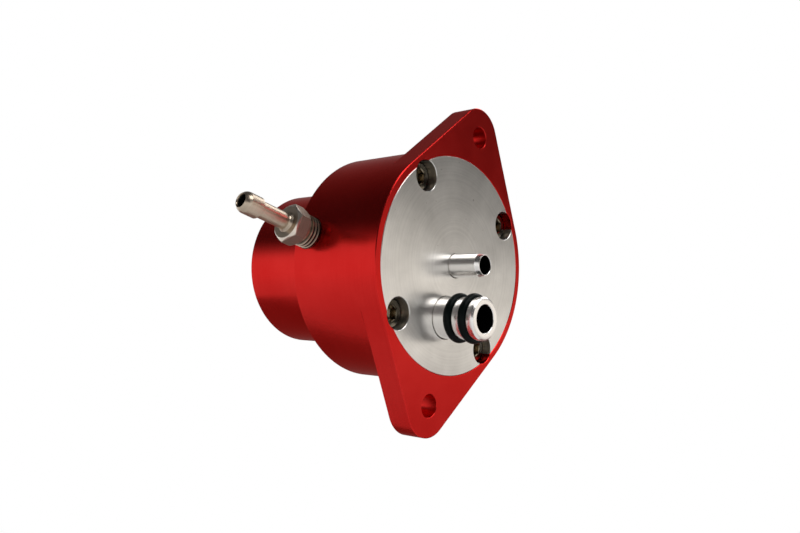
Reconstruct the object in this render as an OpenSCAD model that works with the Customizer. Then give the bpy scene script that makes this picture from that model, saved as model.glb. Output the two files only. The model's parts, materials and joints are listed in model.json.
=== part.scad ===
// Return-style fuel pressure regulator with a bolt-on flange and a vacuum reference.
// The mounting face is the plane y = 0 and faces -Y, the flange runs along Z,
// the spring nose points to +Y and the vacuum fitting to -X.

/* [Housing] */
// Diameter of the round body behind the flange
body_d = 57.15; // [54:0.05:64]
// Length of the body from the mounting face to the step
body_len = 27.2; // [24:0.1:36]
// Diameter of the nose that holds the spring
nose_d = 41.5; // [40:0.1:48]
// Length of the nose behind the step
nose_len = 26.8; // [22:0.1:36]
// Wall at the end of the nose
rear_wall = 6; // [4:0.1:9]
// Wall between the spring chamber and the step
step_wall = 2.6; // [2:0.1:6]
// Rim of the body around the base plate
rim_w = 1.775; // [1.5:0.025:3]
// Bevel on the outer edges
edge_break = 0.4; // [0.1:0.05:0.8]

/* [Flange] */
// Distance between the two bolt holes
bolt_spacing = 68.9; // [64:0.1:80]
// Radius of the rounded ends of the flange
ear_r = 7.5; // [6:0.1:10]
// Thickness of the flange
flange_t = 6.35; // [4:0.05:9]
// Diameter of the bolt holes
bolt_hole_d = 5.5; // [4:0.1:7]
// Bevel at the mouths of the bolt holes
hole_break = 0.3; // [0.1:0.05:0.6]

/* [Base plate] */
// Thickness of the base plate
plate_t = 9.5; // [8.5:0.1:12]
// Depth of the fuel chamber in the back of the plate
fuel_depth = 5; // [4:0.1:5.5]
// Diameter of the boss that holds the valve seat
boss_d = 13; // [11:0.1:15]
// Height of that boss above the floor of the fuel chamber
boss_h = 0.5; // [0.2:0.1:1]
// Land between the fuel chamber and the spring chamber's edge
fuel_inset = 2; // [1.5:0.1:3]
// Bevel on the front edge of the plate and of its counterbores
plate_break = 0.25; // [0.1:0.05:0.5]

/* [Plate screws] */
// Distance from the plate's edge to the screw centres
screw_inset = 3.05; // [2.8:0.05:4]
// Thread diameter of the plate screws
screw_d = 4.166; // [3.5:0.001:4.5]
// Length of the screws under the head
screw_len = 12.7; // [9:0.1:14]
// Diameter of the socket heads
head_d = 6.86; // [6:0.01:7.2]
// Height of the socket heads
head_h = 4.17; // [3.5:0.01:5]
// Depth of the head tops below the mounting face
head_sink = 2.2; // [0.5:0.1:2.8]
// Diameter of the counterbores around the heads
cbore_d = 7.5; // [7.3:0.05:8]
// Width across the flats of the hexagon sockets
socket_af = 3.57; // [2.5:0.01:4]
// Depth of the hexagon sockets
socket_depth = 2.1; // [1:0.1:3]

/* [Fuel ports] */
// Distance of the inlet from the centre of the plate
inlet_offset = 13.1; // [12:0.1:15]
// Outer diameter of the inlet spigot
inlet_d = 10.2; // [9.8:0.1:11]
// Bore of the inlet spigot
inlet_bore = 6.6; // [5:0.1:7]
// Length of the inlet spigot in front of the plate
inlet_len = 11.5; // [11:0.1:15]
// Diameter of the inlet's stem in the plate
inlet_stem_d = 8.6; // [8:0.1:9.4]
// Outer diameter of the return tube
return_d = 5.8; // [5.2:0.1:7]
// Bore of the return tube
return_bore = 4.5; // [3.6:0.1:4.7]
// Diameter of the return tube's stem in the plate
return_stem_d = 5.4; // [5.2:0.1:5.8]
// Length of the return tube in front of the plate
return_len = 8.8; // [6:0.1:12]
// Bevel at the tips of both tubes
tip_break = 0.6; // [0.2:0.05:0.8]
// Countersink at the mouths of both tubes
mouth_break = 0.2; // [0.1:0.05:0.3]

/* [O-rings] */
// Thickness of the rubber rings
ring_t = 2; // [1.6:0.05:2.2]
// Outer diameter of the rings in their grooves
ring_od = 11.9; // [11.6:0.1:12.6]
// Distance of the first ring from the plate
ring_first = 4.3; // [3:0.05:4.5]
// Distance between the two rings
ring_pitch = 4.15; // [3.4:0.05:4.3]
// Spare width of a groove beside its ring
groove_play = 0.4; // [0.2:0.05:0.8]

/* [Vacuum fitting] */
// Distance of the fitting in front of the step
vacuum_back = 4.4; // [4.4:0.1:7]
// Distance of the fitting below the centre line
vacuum_drop = 0.8; // [0:0.1:2]
// Diameter of the taper thread at the hexagon
taper_d = 7.94; // [7:0.02:8]
// Length of thread that shows outside the body
taper_shown = 3.1; // [1:0.1:6]
// Length of thread inside the body
taper_held = 6.5; // [4:0.1:7]
// Width across the flats of the hexagon
hex_af = 8.3; // [8:0.05:11]
// Length of the hexagon
hex_len = 4.1; // [3:0.1:6]
// Turn of the hexagon about its own axis
hex_turn = 10; // [0:1:60]
// Diameter of the stem behind the barb
stem_d = 4; // [3.6:0.1:4.4]
// Length of that stem
stem_len = 8.4; // [4:0.1:12]
// Diameter of the hose barb
barb_d = 5.1; // [4.8:0.1:6]
// Length of the hose barb
barb_len = 5.2; // [4:0.1:8]
// Radius of the barb's rounded tip
barb_round = 1.8; // [0.3:0.05:2]
// Bore through the fitting
hose_bore = 2.8; // [2:0.1:2.9]

/* [Diaphragm and valve] */
// Thickness of the diaphragm
diaphragm_t = 1; // [0.6:0.05:1.1]
// Land between the spring chamber and the plate screws
land_w = 2.1; // [1.6:0.1:3]
// Width of the rolled fold around the diaphragm
roll_w = 4; // [3.6:0.1:5]
// Diameter of the valve ball
ball_d = 5; // [4.4:0.1:5.6]
// Bore of the valve seat
seat_bore = 2.4; // [2:0.1:2.8]
// Diameter of the valve seat's head
seat_head_d = 7.6; // [7.2:0.1:9]
// Thickness of the spring cup
cup_t = 1.5; // [1:0.1:2]
// Wall of the spring cup's rim
cup_rim_w = 1.4; // [1:0.1:2]
// Height of that rim
cup_rim_h = 1.6; // [1:0.1:3]
// Diameter of the washer on the fuel side
washer_d = 26; // [20:0.5:30]
// Thickness of that washer
washer_t = 1.3; // [0.8:0.1:1.5]
// Diameter of the stud that holds the valve together
stud_d = 7; // [6.6:0.1:8]
// Diameter of the stud's head around the ball
stud_head_d = 8.8; // [8.4:0.1:10]
// Diameter of the stud's riveted end
rivet_d = 9.6; // [8.6:0.1:11]
// Height of the riveted end
rivet_h = 1.2; // [0.8:0.1:2]

/* [Spring] */
// Wire diameter of the spring
wire_d = 2.6; // [1.8:0.1:3]
// Number of turns
turns = 6.5; // [5:0.5:7]
// Thickness of the spring seat
spring_seat_t = 2.5; // [2:0.1:3.5]
// Height of the boss that centres the spring
centre_boss_h = 3; // [1:0.1:4]
// Height of the hub that the adjusting screw presses on
hub_h = 3.2; // [3:0.1:4]
// Diameter of that hub
hub_d = 11; // [8:0.5:14]

/* [Adjuster] */
// Thread diameter of the adjusting screw
adjuster_d = 7.94; // [7:0.02:9]
// Room for the spring seat to move back
adjust_room = 5.6; // [4:0.1:8]
// Length of screw behind the lock nut
stick_out = 4.7; // [4:0.1:7]
// Width across the flats of the lock nut
nut_af = 12.7; // [12:0.1:15]
// Height of the lock nut
nut_h = 4.76; // [3:0.02:7]
// Diameter of the sealing washer
seal_d = 12.4; // [11:0.1:16]
// Thickness of the sealing washer
seal_t = 1.5; // [0.8:0.1:2.5]
// Width across the flats of the adjusting screw's socket
key_af = 3.97; // [3:0.01:4.2]
// Depth of that socket
key_depth = 4; // [2:0.1:5]

/* [Fits] */
// Radial gap of the plate in its recess
slip_gap = 0.05; // [0.02:0.01:0.1]
// Radial gap left around pressed and screwed pieces
press_gap = 0.01; // [0:0.005:0.03]
// Radial gap of the adjusting screw's thread
thread_gap = 0.05; // [0.02:0.01:0.1]
// Radial gap of the spring seat in the nose
slide_gap = 0.4; // [0.3:0.05:0.6]
// Gap between the closed valve ball and its seat
valve_gap = 0.08; // [0.05:0.01:0.15]

/* [Hidden] */
$fn = 96;
eps = 0.5;
diagonal = sqrt(0.5);
hex_corner = 1 / cos(30);
// Depth by which the flange's straight sides dip under the round body and ends
tangent_dip = 0.03;

body_r = body_d / 2;
nose_r = nose_d / 2;
nose_end = body_len + nose_len;
bore_end = nose_end - rear_wall;
recess_r = body_r - rim_w;
plate_r = recess_r - slip_gap;
screw_ring = plate_r - screw_inset;
screw_angles = [45, 135, 225, 315];
head_seat = head_sink + head_h;
screw_hole_r = screw_d / 2 + press_gap;
screw_slack = 0.2;
tap_spare = 1.5;
tap_depth = head_seat + screw_len + tap_spare;

chamber_r = screw_ring - screw_d / 2 - land_w;
chamber_end = body_len - step_wall;
roll_ring = chamber_r - roll_w / 2;
roll_clear = 0.2;
roll_r = roll_w / 2 - roll_clear;
cup_r = chamber_r - roll_w;
cup_y = plate_t + diaphragm_t;
cup_floor = cup_y + cup_t;
spring_play = 0.6;
spring_r = cup_r - cup_rim_w - spring_play;
coil_r = spring_r - wire_d / 2;
coil_spread = 1.02;
spring_room = 2.5;
nose_bore_r = spring_r + spring_room;

fuel_r = chamber_r - fuel_inset;
fuel_floor = plate_t - fuel_depth;
boss_top = fuel_floor + boss_h;
seat_sunk = 1;
seat_proud = 0.4;
seat_cone = 1;
seat_head_y = boss_top - seat_sunk;
seat_top = boss_top + seat_proud;
seat_mouth_r = seat_bore / 2 + seat_cone;
seat_spigot = 2.5;
return_r = return_d / 2;
ball_r = ball_d / 2;
ball_y = seat_top - seat_mouth_r + 2 * ball_r * diagonal + valve_gap / diagonal;
ball_lip = 0.25;
stud_r = stud_d / 2;
washer_y = plate_t - washer_t;

groove_r = ring_od / 2 - ring_t;
ring_centre_r = ring_od / 2 - ring_t / 2;
groove_w = ring_t + groove_play;

hub_top = bore_end - adjust_room;
seat_back = hub_top - hub_h;
seat_front = seat_back - spring_seat_t;
spring_seat_r = nose_bore_r - slide_gap;
centre_boss_r = spring_r - wire_d - spring_play;
dimple_r = 2.6;
adjuster_r = adjuster_d / 2;
point_y = hub_top - dimple_r + thread_gap / diagonal;
nut_y = nose_end + seal_t;
adjuster_end = nut_y + nut_h + stick_out;
thread_break = 0.7;

vacuum_y = body_len - vacuum_back;
taper_r = taper_d / 2;
taper_inner = body_r - taper_held;
hex_back = body_r + taper_shown;
hex_front = hex_back + hex_len;
barb_y = hex_front + stem_len;
barb_tip = barb_y + barb_len;
// Standard pipe taper, one in thirty-two on the radius
taper_slope = 1 / 32;
drill_r = 1.6;
drill_over = 2;

// Turns a shape that stands on the XY plane so that it points along +Y
module along_y(y = 0, z = 0) translate([0, y, z]) rotate([-90, 0, 0]) children();

// Turns a shape so that it points along -X at the vacuum port
module along_port() translate([0, vacuum_y, -vacuum_drop]) rotate([0, -90, 0]) children();

// Solid of revolution about the regulator's axis from [radius, y] points
module lathe(points, z = 0) along_y(0, z) rotate_extrude() polygon(points);

// Straight pin or hole about a line parallel to the regulator's axis
module rod(r, y0, y1, z = 0) along_y(y0, z) cylinder(h = y1 - y0, r = r);

// Bevelled mouth of a round hole, open towards -Y
module mouth(r, y, bevel, z = 0) along_y(y - eps, z) cylinder(h = eps + bevel, r1 = r + bevel + eps, r2 = r);

// Copies a shape to the four plate screws
module at_screws() for (a = screw_angles) rotate([0, a, 0]) translate([screw_ring, 0, 0]) children();

// Corner points of one flange ear, drawn in by an inset
function ear_points(inset) =
  let (wide = body_r - tangent_dip - inset)
  let (end = ear_r - tangent_dip - inset)
  let (reach = bolt_spacing / 2)
  let (lean = (wide - end) / reach)
  let (side = sqrt(1 - lean * lean))
  [
    [wide * side, 0], [wide * side, wide * lean], [end * side, reach + end * lean],
    [-end * side, reach + end * lean], [-wide * side, wide * lean], [-wide * side, 0]
  ];

// One ear of the flange with bevelled edges
module flange_ear() {
  hull() {
    linear_extrude(flange_t) polygon(ear_points(edge_break));
    translate([0, 0, edge_break]) linear_extrude(flange_t - 2 * edge_break) polygon(ear_points(0));
  }
  translate([0, bolt_spacing / 2, 0]) rotate_extrude() polygon([
    [0, 0], [ear_r - edge_break, 0], [ear_r, edge_break],
    [ear_r, flange_t - edge_break], [ear_r - edge_break, flange_t], [0, flange_t]
  ]);
}

module housing_outside() {
  lathe([
    [0, 0], [body_r - edge_break, 0], [body_r, edge_break],
    [body_r, body_len - edge_break], [body_r - edge_break, body_len],
    [nose_r, body_len], [nose_r, nose_end - edge_break], [nose_r - edge_break, nose_end], [0, nose_end]
  ]);
  for (turn = [0, 180]) along_y() rotate([0, 0, turn]) flange_ear();
}

module housing_inside() {
  lathe([
    [0, -eps], [recess_r + plate_break + eps, -eps], [recess_r, plate_break], [recess_r, cup_y],
    [chamber_r, cup_y], [chamber_r, chamber_end], [nose_bore_r, chamber_end], [nose_bore_r, bore_end],
    [adjuster_r + thread_gap, bore_end], [adjuster_r + thread_gap, nose_end + eps], [0, nose_end + eps]
  ]);
}

// Counterbore of one plate screw, shared by the plate and the housing's rim
module counterbore() {
  rod(cbore_d / 2, -eps, head_seat);
  mouth(cbore_d / 2, 0, plate_break);
}

module bolt_holes() {
  for (z = [-bolt_spacing / 2, bolt_spacing / 2]) {
    rod(bolt_hole_d / 2, -eps, flange_t + eps, z);
    mouth(bolt_hole_d / 2, 0, hole_break, z);
  }
}

// Taper thread of the fitting as a smooth cone, grown by a gap for its hole
module taper(gap, tail) {
  tail_r = taper_r + taper_slope * tail + gap;
  inner_r = taper_r - taper_slope * (taper_shown + taper_held) + gap;
  translate([0, 0, taper_inner]) cylinder(h = hex_back + tail - taper_inner, r1 = inner_r, r2 = tail_r);
}

module vacuum_port() along_port() {
  taper(press_gap, eps);
  translate([0, 0, chamber_r - drill_over])
    cylinder(h = taper_inner - chamber_r + drill_over + eps, r = drill_r);
}

module housing() color("firebrick") difference() {
  housing_outside();
  housing_inside();
  bolt_holes();
  at_screws() {
    counterbore();
    rod(screw_hole_r, cup_y - eps, tap_depth);
  }
  vacuum_port();
}

module base_plate() color("silver") difference() {
  lathe([
    [0, 0], [plate_r - plate_break, 0], [plate_r, plate_break], [plate_r, plate_t],
    [fuel_r, plate_t], [fuel_r, fuel_floor], [boss_d / 2, fuel_floor], [boss_d / 2, boss_top], [0, boss_top]
  ]);
  rod(return_stem_d / 2 + press_gap, -eps, seat_head_y + eps);
  rod(seat_head_d / 2 + press_gap, seat_head_y, boss_top + eps);
  rod(inlet_stem_d / 2 + press_gap, -eps, fuel_floor + eps, -inlet_offset);
  at_screws() {
    counterbore();
    rod(screw_d / 2 + screw_slack, -eps, plate_t + eps);
  }
}

// Groove for one ring, centred on the ring
module ring_groove(y) along_y(y - groove_w / 2, -inlet_offset) difference() {
  cylinder(h = groove_w, r = inlet_d / 2 + eps);
  cylinder(h = groove_w, r = groove_r);
}

module inlet_spigot() color("gainsboro") difference() {
  lathe([
    [inlet_bore / 2, -inlet_len + mouth_break], [inlet_bore / 2 + mouth_break, -inlet_len],
    [inlet_d / 2 - tip_break, -inlet_len], [inlet_d / 2, -inlet_len + tip_break], [inlet_d / 2, 0],
    [inlet_stem_d / 2, 0], [inlet_stem_d / 2, fuel_floor], [inlet_bore / 2, fuel_floor]
  ], -inlet_offset);
  ring_groove(-ring_first);
  ring_groove(-ring_first - ring_pitch);
}

module rubber_ring(y) color("black") along_y(y, -inlet_offset) rotate_extrude()
  translate([ring_centre_r, 0]) circle(d = ring_t - 2 * press_gap);

module inlet_ring_inner() rubber_ring(-ring_first);

module inlet_ring_outer() rubber_ring(-ring_first - ring_pitch);

module return_tube() color("gainsboro") lathe([
  [return_bore / 2, -return_len + mouth_break], [return_bore / 2 + mouth_break, -return_len],
  [return_r - tip_break / 2, -return_len], [return_r, -return_len + tip_break],
  [return_r, 0], [return_stem_d / 2, 0], [return_stem_d / 2, seat_head_y], [return_bore / 2, seat_head_y]
]);

module valve_seat() color("darkkhaki") lathe([
  [seat_bore / 2, seat_head_y - seat_spigot], [return_bore / 2 - press_gap, seat_head_y - seat_spigot],
  [return_bore / 2 - press_gap, seat_head_y], [seat_head_d / 2, seat_head_y], [seat_head_d / 2, seat_top],
  [seat_mouth_r, seat_top], [seat_bore / 2, seat_top - seat_mouth_r + seat_bore / 2]
]);

module socket_screw() difference() {
  lathe([
    [0, head_sink], [head_d / 2 - edge_break, head_sink], [head_d / 2, head_sink + edge_break],
    [head_d / 2, head_seat], [screw_d / 2, head_seat], [screw_d / 2, head_seat + screw_len - edge_break],
    [screw_d / 2 - edge_break, head_seat + screw_len], [0, head_seat + screw_len]
  ]);
  along_y(head_sink - eps) cylinder(h = eps + socket_depth, d = socket_af * hex_corner, $fn = 6);
}

module plate_screws() color("dimgray") at_screws() socket_screw();

// Flat sheet with one rolled fold, clamped at its rim
module diaphragm() color("saddlebrown") difference() {
  along_y() rotate_extrude() {
    sheet(stud_r + press_gap, roll_ring - roll_r + diaphragm_t);
    sheet(roll_ring + roll_r - diaphragm_t, plate_r);
    translate([roll_ring, plate_t]) intersection() {
      difference() {
        circle(r = roll_r);
        circle(r = roll_r - diaphragm_t);
      }
      translate([-roll_w, 0]) square([2 * roll_w, roll_w]);
    }
  }
  at_screws() rod(screw_d / 2 + screw_slack, plate_t - eps, cup_y + eps);
}

// Section of a flat ring of the diaphragm between two radii
module sheet(r0, r1) translate([r0, plate_t]) square([r1 - r0, diaphragm_t]);

module backing_washer() color("darkgray") lathe([
  [stud_r + press_gap, washer_y], [washer_d / 2, washer_y],
  [washer_d / 2, plate_t], [stud_r + press_gap, plate_t]
]);

module spring_cup() color("goldenrod") lathe([
  [stud_r + press_gap, cup_y], [cup_r, cup_y], [cup_r, cup_floor + cup_rim_h],
  [cup_r - cup_rim_w, cup_floor + cup_rim_h], [cup_r - cup_rim_w, cup_floor], [stud_r + press_gap, cup_floor]
]);

// Stud riveted through the washer, diaphragm and cup, swaged around the ball
module valve_stud() color("lightslategray") along_y() rotate_extrude() difference() {
  polygon([
    [0, ball_y - ball_lip], [stud_head_d / 2, ball_y - ball_lip], [stud_head_d / 2, washer_y],
    [stud_r, washer_y], [stud_r, cup_floor], [rivet_d / 2, cup_floor],
    [rivet_d / 2 - rivet_h / 2, cup_floor + rivet_h], [0, cup_floor + rivet_h]
  ]);
  translate([0, ball_y]) circle(r = ball_r + press_gap);
}

module valve_ball() color("lightgray") translate([0, ball_y, 0]) sphere(r = ball_r);

// Height of the wire's centre at a number of turns, with closed end turns
function coil_height(t, length) =
  let (closed = wire_d * coil_spread)
  let (low = wire_d / 2 + closed)
  let (high = length - low)
  t < 1 ? wire_d / 2 + t * closed
  : t > turns - 1 ? length - wire_d / 2 - (turns - t) * closed
  : low + (high - low) * (t - 1) / (turns - 2);

// Round wire swept along a helix of the given length
module coil(length, steps = 20, sides = 8) {
  last = turns * steps;
  points = [
    for (i = [0:last], k = [0:sides - 1])
      let (turn = 360 * i / steps)
      let (r = coil_r + wire_d / 2 * cos(360 * k / sides))
      let (h = coil_height(i / steps, length) + wire_d / 2 * sin(360 * k / sides))
      [r * cos(turn), r * sin(turn), h]
  ];
  skin = [
    for (i = [0:last - 1], k = [0:sides - 1])
      let (a = i * sides + k)
      let (b = i * sides + (k + 1) % sides)
      each [[a, a + sides, b], [b, a + sides, b + sides]]
  ];
  ends = [
    [for (k = [0:sides - 1]) k],
    [for (k = [0:sides - 1]) last * sides + sides - 1 - k]
  ];
  polyhedron(points, concat(skin, ends));
}

module spring() color("slategray") along_y(cup_floor + valve_gap)
  coil(seat_front - cup_floor - 2 * valve_gap);

module spring_seat() color("goldenrod") lathe([
  [0, seat_front - centre_boss_h], [centre_boss_r - edge_break, seat_front - centre_boss_h],
  [centre_boss_r, seat_front - centre_boss_h + edge_break], [centre_boss_r, seat_front],
  [spring_seat_r, seat_front], [spring_seat_r, seat_back], [hub_d / 2, seat_back],
  [hub_d / 2, hub_top], [dimple_r, hub_top], [0, hub_top - dimple_r]
]);

module adjusting_screw() color("dimgray") difference() {
  lathe([
    [0, point_y], [adjuster_r, point_y + adjuster_r], [adjuster_r, adjuster_end - thread_break],
    [adjuster_r - thread_break, adjuster_end], [0, adjuster_end]
  ]);
  along_y(adjuster_end - key_depth) cylinder(h = key_depth + eps, d = key_af * hex_corner, $fn = 6);
}

module lock_nut() color("silver") difference() {
  intersection() {
    along_y(nut_y) cylinder(h = nut_h, d = nut_af * hex_corner, $fn = 6);
    lathe([
      [0, nut_y], [nut_af / 2, nut_y], [nut_af / 2 + nut_h / 2, nut_y + nut_h / 4],
      [nut_af / 2 + nut_h / 2, nut_y + nut_h * 3 / 4], [nut_af / 2, nut_y + nut_h], [0, nut_y + nut_h]
    ]);
  }
  rod(adjuster_r + thread_gap, nut_y - eps, nut_y + nut_h + eps);
}

module sealing_washer() color("dimgray") lathe([
  [adjuster_r + screw_slack, nose_end], [seal_d / 2, nose_end],
  [seal_d / 2, nut_y], [adjuster_r + screw_slack, nut_y]
]);

// Hexagon of the fitting with its corners turned off at both ends
module fitting_hexagon() intersection() {
  translate([0, 0, hex_back]) rotate([0, 0, -hex_turn])
    cylinder(h = hex_len, d = hex_af * hex_corner, $fn = 6);
  rotate_extrude() polygon([
    [0, hex_back], [hex_af / 2, hex_back], [hex_af, hex_back + hex_af / 4],
    [hex_af, hex_front - hex_af / 4], [hex_af / 2, hex_front], [0, hex_front]
  ]);
}

// Stem and hose barb with a rounded tip
module fitting_barb() rotate_extrude() intersection() {
  union() {
    translate([0, hex_front - eps]) square([stem_d / 2, stem_len + 2 * eps]);
    translate([0, barb_y]) square([barb_d / 2, barb_len - barb_round]);
    translate([0, barb_y]) square([barb_d / 2 - barb_round, barb_len]);
    translate([barb_d / 2 - barb_round, barb_tip - barb_round]) circle(r = barb_round);
  }
  translate([0, hex_front - eps]) square([barb_d, barb_tip - hex_front + 2 * eps]);
}

module vacuum_fitting() color("lightsteelblue") along_port() difference() {
  union() {
    taper(0, eps);
    fitting_hexagon();
    fitting_barb();
  }
  translate([0, 0, taper_inner - eps]) cylinder(h = barb_tip - taper_inner + 2 * eps, d = hose_bore);
}

housing();
base_plate();
inlet_spigot();
return_tube();
valve_seat();
inlet_ring_inner();
inlet_ring_outer();
plate_screws();
diaphragm();
backing_washer();
spring_cup();
valve_stud();
valve_ball();
spring();
spring_seat();
adjusting_screw();
lock_nut();
sealing_washer();
vacuum_fitting();
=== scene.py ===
import bpy
import bmesh
import json
import math
from mathutils import Matrix, Quaternion, Vector


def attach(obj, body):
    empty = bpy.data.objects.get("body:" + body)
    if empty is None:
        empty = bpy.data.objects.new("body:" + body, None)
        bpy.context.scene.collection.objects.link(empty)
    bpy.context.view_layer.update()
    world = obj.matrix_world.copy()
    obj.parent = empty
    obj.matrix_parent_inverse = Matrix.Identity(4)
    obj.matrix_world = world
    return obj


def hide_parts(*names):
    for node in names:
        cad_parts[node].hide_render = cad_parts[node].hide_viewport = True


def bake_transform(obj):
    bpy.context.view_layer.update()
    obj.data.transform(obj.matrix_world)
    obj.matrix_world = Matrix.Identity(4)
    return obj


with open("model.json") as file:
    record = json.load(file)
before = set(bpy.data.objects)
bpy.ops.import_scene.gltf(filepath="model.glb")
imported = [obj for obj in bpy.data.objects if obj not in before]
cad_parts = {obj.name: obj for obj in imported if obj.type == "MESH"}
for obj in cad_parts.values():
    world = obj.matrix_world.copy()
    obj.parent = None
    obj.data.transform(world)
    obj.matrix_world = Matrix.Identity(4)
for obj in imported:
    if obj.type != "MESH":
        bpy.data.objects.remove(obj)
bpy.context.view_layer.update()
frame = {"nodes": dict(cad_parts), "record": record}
mm = 0.001
print("frame loaded:", len(frame["nodes"]), "nodes")


# a socket that can be used in plain arithmetic
class Wire:
    def __init__(self, paint, socket):
        self.paint = paint
        self.socket = socket

    def maths(self, operation, *values):
        return self.paint.node("ShaderNodeMath", {"operation": operation}, dict(enumerate(values)))

    def most(self, other):
        return self.maths("MAXIMUM", self, other)

    def __abs__(self):
        return self.maths("ABSOLUTE", self)

    def __add__(self, other):
        return self.maths("ADD", self, other)

    def __sub__(self, other):
        return self.maths("SUBTRACT", self, other)

    def __rsub__(self, other):
        return self.maths("SUBTRACT", other, self)

    def __mul__(self, other):
        return self.maths("MULTIPLY", self, other)

    def __rmul__(self, other):
        return self.maths("MULTIPLY", other, self)

    def __pow__(self, other):
        return self.maths("POWER", self, other)


# one material and the nodes in it
class Paint:
    def __init__(self, name, tree=None):
        if tree is None:
            self.material = bpy.data.materials.new(name)
            self.material.use_nodes = True
            tree = self.material.node_tree
        self.tree = tree
        self.tree.nodes.clear()

    def node(self, kind, settings=None, inputs=None, output=0):
        made = self.tree.nodes.new(kind)
        for key, value in (settings or {}).items():
            setattr(made, key, value)
        for key, value in (inputs or {}).items():
            if isinstance(value, Wire):
                self.tree.links.new(value.socket, made.inputs[key])
            else:
                made.inputs[key].default_value = value
        return Wire(self, made.outputs[output]) if made.outputs else None

    def place(self):
        return self.node("ShaderNodeTexCoord", output="Object")

    # x, y and z in millimetres
    def axes(self):
        place = self.place()
        return [self.node("ShaderNodeSeparateXYZ", {}, {0: place}, i) * (1 / mm) for i in range(3)]

    def noise(self, scale, detail=3.0, rough=0.55):
        return self.node("ShaderNodeTexNoise", {}, {
            "Vector": self.place(), "Scale": scale, "Detail": detail, "Roughness": rough})

    def lines(self, along, scale, detail):
        return self.node("ShaderNodeTexNoise", {"noise_dimensions": "1D"}, {
            "W": along, "Scale": scale, "Detail": detail, "Roughness": 0.6})

    def spread(self, value, low, high, toLow, toHigh):
        return self.node("ShaderNodeMapRange", {"clamp": True}, {
            0: value, 1: low, 2: high, 3: toLow, 4: toHigh})

    # inputs 6 and 7 and output 2 are the colour sockets
    def blend(self, factor, first, second):
        return self.node("ShaderNodeMix", {"data_type": "RGBA"}, {0: factor, 6: first, 7: second}, 2)

    def bump(self, height, strength, distance=0.0001):
        return self.node("ShaderNodeBump", {}, {
            "Height": height, "Strength": strength, "Distance": distance})

    def glow(self, colour, strength=1.0):
        return self.node("ShaderNodeEmission", {}, {"Color": colour, "Strength": strength})

    def mix(self, factor, first, second):
        return self.node("ShaderNodeMixShader", {}, {0: factor, 1: first, 2: second})

    def finish(self, **inputs):
        named = {key.replace("_", " "): value for key, value in inputs.items()}
        return self.close(self.node("ShaderNodeBsdfPrincipled", {}, named))

    def close(self, skin):
        self.node("ShaderNodeOutputMaterial", {}, {"Surface": skin})
        return self.material


# distance from a line, by the two coordinates across it
def away(first, second):
    return (first * first + second * second) ** 0.5


def dimmed(colour, share):
    return tuple(channel * share for channel in colour[:3]) + (1,)


# the ranges that most of a noise lies in
noiseWide = (0.3, 0.7)
noiseNarrow = (0.35, 0.65)

redLook = {"deep": (0.55, 0.013, 0.012, 1), "bright": (0.66, 0.028, 0.025, 1), "edgeTint": (1.0, 0.6, 0.58, 1),
           "marks": (4.0, 4.0), "cloud": (60.0, 4.0), "cloudShare": 0.5, "bump": 0.04, "rough": (0.20, 0.265),
           "faces": (6.35, 27.2, 54.0), "faceDepth": (0.02, 0.05), "front": (0.02, 0.04), "frontRough": (0.285, 0.34),
           "reach": 34.45, "drilled": (2.85, 2.9), "drilledRough": 0.33}


# turning marks around the sides and in rings on the faces, with a duller front and duller bolt holes
def makeRedAnodised():
    paint = Paint("redAnodised")
    look = redLook
    x, y, z = paint.axes()
    along = paint.lines(y, *look["marks"])
    rings = paint.lines(away(x, z), *look["marks"])
    onFace = [paint.spread(abs(y - face), *look["faceDepth"], 1.0, 0.0) for face in look["faces"]]
    marks = along + (rings - along) * (onFace[0] + onFace[1] + onFace[2])
    cloud = paint.noise(*look["cloud"])
    mixed = cloud * look["cloudShare"] + marks * (1 - look["cloudShare"])
    colour = paint.blend(paint.spread(mixed, *noiseNarrow, 0.0, 1.0), look["deep"], look["bright"])
    drilled = paint.spread(away(x, abs(z) - look["reach"]), *look["drilled"], 1.0, 0.0)
    plain = paint.spread(marks, *noiseWide, *look["rough"])
    faced = paint.spread(cloud, *noiseWide, *look["frontRough"])
    front = paint.spread(y, *look["front"], 1.0, 0.0)
    rough = plain + (faced - plain) * front
    rough = rough + (look["drilledRough"] - rough) * drilled
    return paint.finish(Base_Color=colour, Metallic=1.0, Roughness=rough, Specular_Tint=look["edgeTint"],
                        Normal=paint.bump(marks, look["bump"]))


plateLook = {"grey": (0.57, 0.555, 0.53, 1), "pale": (0.85, 0.83, 0.795, 1), "stain": (0.36, 0.33, 0.30, 1),
             "rings": (1.6, 3.0), "cloud": (45.0, 5.0, 0.6), "tone": (0.34, 0.66), "ringTone": 0.15,
             "specks": (700.0, 2.0), "speckFrom": (0.70, 0.76), "speckShare": 0.6,
             "rough": (0.285, 0.33), "ringRough": 0.3, "bump": 0.05}


# faced on a lathe: fine rings about the axis, cloudy from handling, with a few dark specks
def makeSatinAluminium():
    paint = Paint("satinAluminium")
    look = plateLook
    x, y, z = paint.axes()
    rings = paint.lines(away(x, z), *look["rings"])
    cloud = paint.noise(*look["cloud"])
    speck = paint.spread(paint.noise(*look["specks"]), *look["speckFrom"], 0.0, look["speckShare"])
    mixed = cloud * (1 - look["ringTone"]) + rings * look["ringTone"]
    metal = paint.blend(paint.spread(mixed, *look["tone"], 0.0, 1.0), look["grey"], look["pale"])
    mottled = rings * look["ringRough"] + cloud * (1 - look["ringRough"])
    return paint.finish(Base_Color=paint.blend(speck, metal, look["stain"]), Metallic=1.0,
                        Roughness=paint.spread(mottled, *noiseNarrow, *look["rough"]),
                        Normal=paint.bump(cloud, look["bump"]))


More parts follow.
